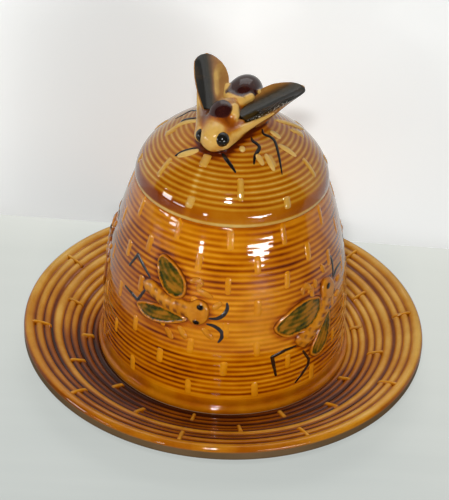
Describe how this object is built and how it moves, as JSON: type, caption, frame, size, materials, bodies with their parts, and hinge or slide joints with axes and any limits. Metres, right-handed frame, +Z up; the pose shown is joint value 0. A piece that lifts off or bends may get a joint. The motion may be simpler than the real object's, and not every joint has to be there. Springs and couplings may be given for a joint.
{
  "type": "honey pot",
  "caption": "Beehive-shaped glazed pottery honey pot with coiled walls, raised bees, a lift-off lid with a bee knob and a dished saucer.",
  "frame": {"origin": "on the common axis of saucer, pot and lid, in the plane that the saucer stands on", "axes": "+Z up along the axis; -Y is the front, the side that the knob bee looks towards within 24 degrees; +X is to the right seen from the front"},
  "size_m": [0.16, 0.16, 0.1204],
  "materials": {
    "amber_glaze": "gloss honey-amber glaze, pooling dark in the grooves",
    "straw_glaze": "gloss straw-coloured glaze, pale on crowns and rim",
    "bee_relief_glaze": "gloss amber glaze with green-brown wings and painted lines",
    "bee_body_glaze": "gloss cream-amber glaze with dark brown patches",
    "bee_wing_glaze": "gloss near-black glaze, amber at the edges",
    "black_enamel": "gloss black enamel under the glaze",
    "leg_glaze": "gloss pale cream glaze over thin relief"
  },
  "bodies": {
    "saucer": {"saucer": "amber_glaze"},
    "pot": {"pot": "amber_glaze", "wall_bee_front_left": "bee_relief_glaze", "wall_bee_front_right": "bee_relief_glaze", "wall_bee_side_right": "bee_relief_glaze", "wall_bee_back": "bee_relief_glaze", "wall_bee_side_left": "bee_relief_glaze"},
    "lid": {"lid_dome": "straw_glaze", "bee_body": "bee_body_glaze", "bee_eyes": "black_enamel", "bee_legs": "leg_glaze", "bee_wing_left": "bee_wing_glaze", "bee_wing_right": "bee_wing_glaze"}
  },
  "joints": [
    {"name": "pot_lift", "type": "slide", "parent": "saucer", "child": "pot", "axis": [0, 0, 1], "range_m": [0, 0.06]},
    {"name": "lid_lift", "type": "slide", "parent": "pot", "child": "lid", "axis": [0, 0, 1], "range_m": [0, 0.08]}
  ]
}
